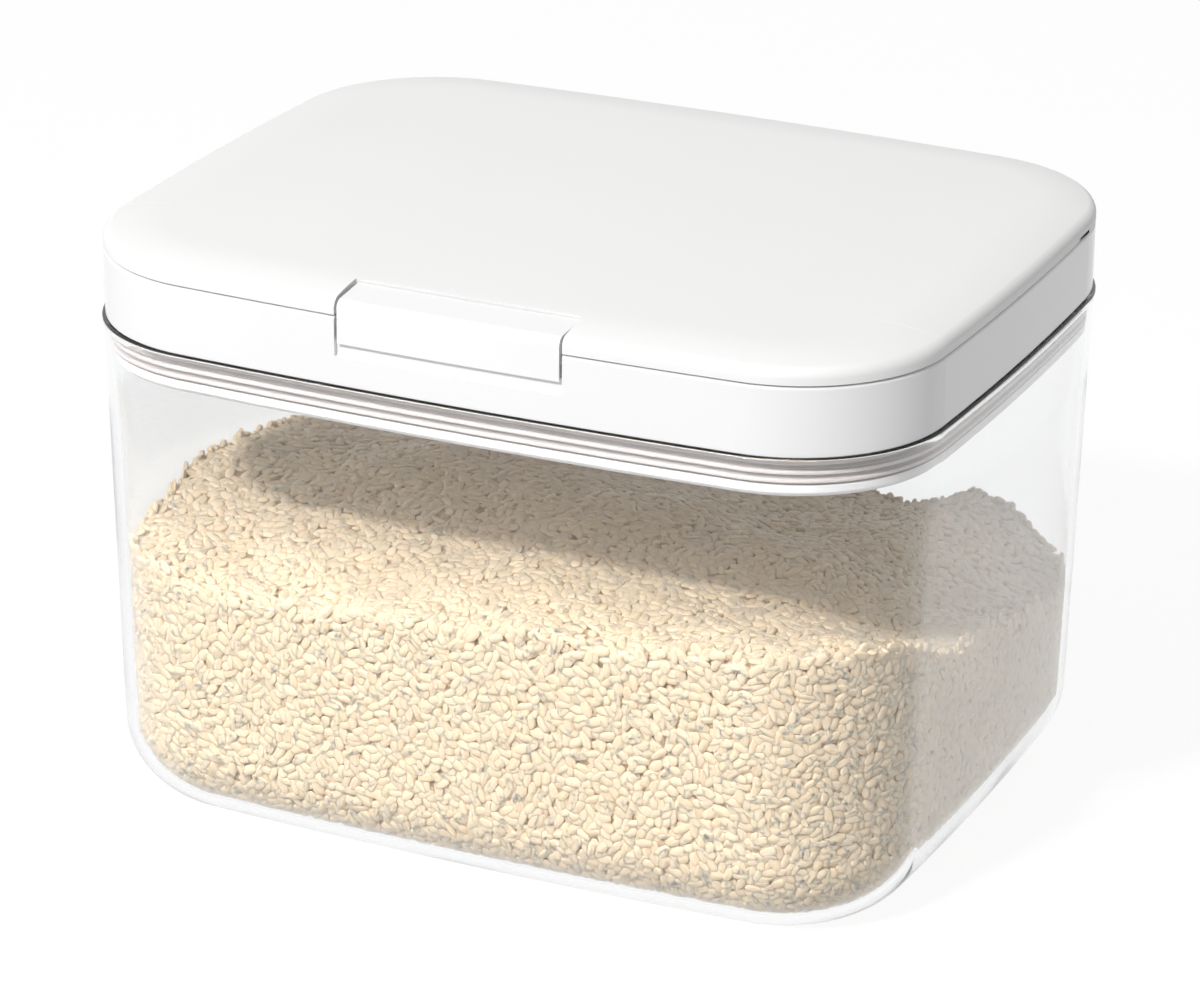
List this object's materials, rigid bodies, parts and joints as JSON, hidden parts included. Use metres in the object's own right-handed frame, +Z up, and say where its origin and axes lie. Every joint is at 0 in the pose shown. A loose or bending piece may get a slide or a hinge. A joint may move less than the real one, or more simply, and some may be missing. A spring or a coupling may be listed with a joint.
{
  "type": "rice bin with flip lid",
  "caption": "Clear rounded-rectangular rice bin with a white lift-off lid frame, a seal, and a rear-hinged flip panel held shut by a front push latch.",
  "frame": {"origin": "centre of the bin's footprint, on the table", "axes": "+X along the long side to the right as seen from the front, -Y towards the front with the latch, +Z up"},
  "size_m": [0.2418, 0.1957, 0.1646],
  "materials": {
    "clear_tub": "clear moulded plastic, polished",
    "rice": null,
    "white_shell": "white moulded plastic, satin to glossy",
    "white_inner": "white moulded plastic",
    "panel_white": "white moulded plastic with a soft satin surface",
    "button_white": "white moulded plastic, satin",
    "seal": "soft translucent silicone, faintly pink",
    "steel": "ground steel pin",
    "spring_steel": "drawn spring wire"
  },
  "bodies": {
    "bin": {"bin_body": "clear_tub", "rice_fill": "rice"},
    "lid": {"lid_frame": "white_shell", "plug_ring": "white_inner", "rim_gasket": "seal", "hinge_pin_left": "steel", "hinge_pin_right": "steel", "hinge_spring_left": "spring_steel", "hinge_spring_right": "spring_steel", "latch_pin": "steel", "latch_spring_left": "spring_steel", "latch_spring_right": "spring_steel"},
    "flip": {"flip_panel": "panel_white", "panel_liner": "white_inner", "mouth_gasket": "seal"},
    "latch": {"latch_button": "button_white"}
  },
  "joints": [
    {"name": "lid_lift", "type": "slide", "parent": "bin", "child": "lid", "axis": [0, 0, 1], "range_m": [0, 0.06]},
    {"name": "flip_hinge", "type": "hinge", "parent": "lid", "child": "flip", "pos_m": [0, 0.0958, 0.1555], "axis": [-1, 0, 0], "range_deg": [0, 100], "deforming": ["hinge_spring_left", "hinge_spring_right"]},
    {"name": "latch_press", "type": "hinge", "parent": "lid", "child": "latch", "pos_m": [0, -0.072, 0.1498], "axis": [1, 0, 0], "range_deg": [0, 8], "stiffness_Nm_per_rad": 0.2, "springref_deg": -5.73, "deforming": ["latch_spring_left", "latch_spring_right"]}
  ]
}
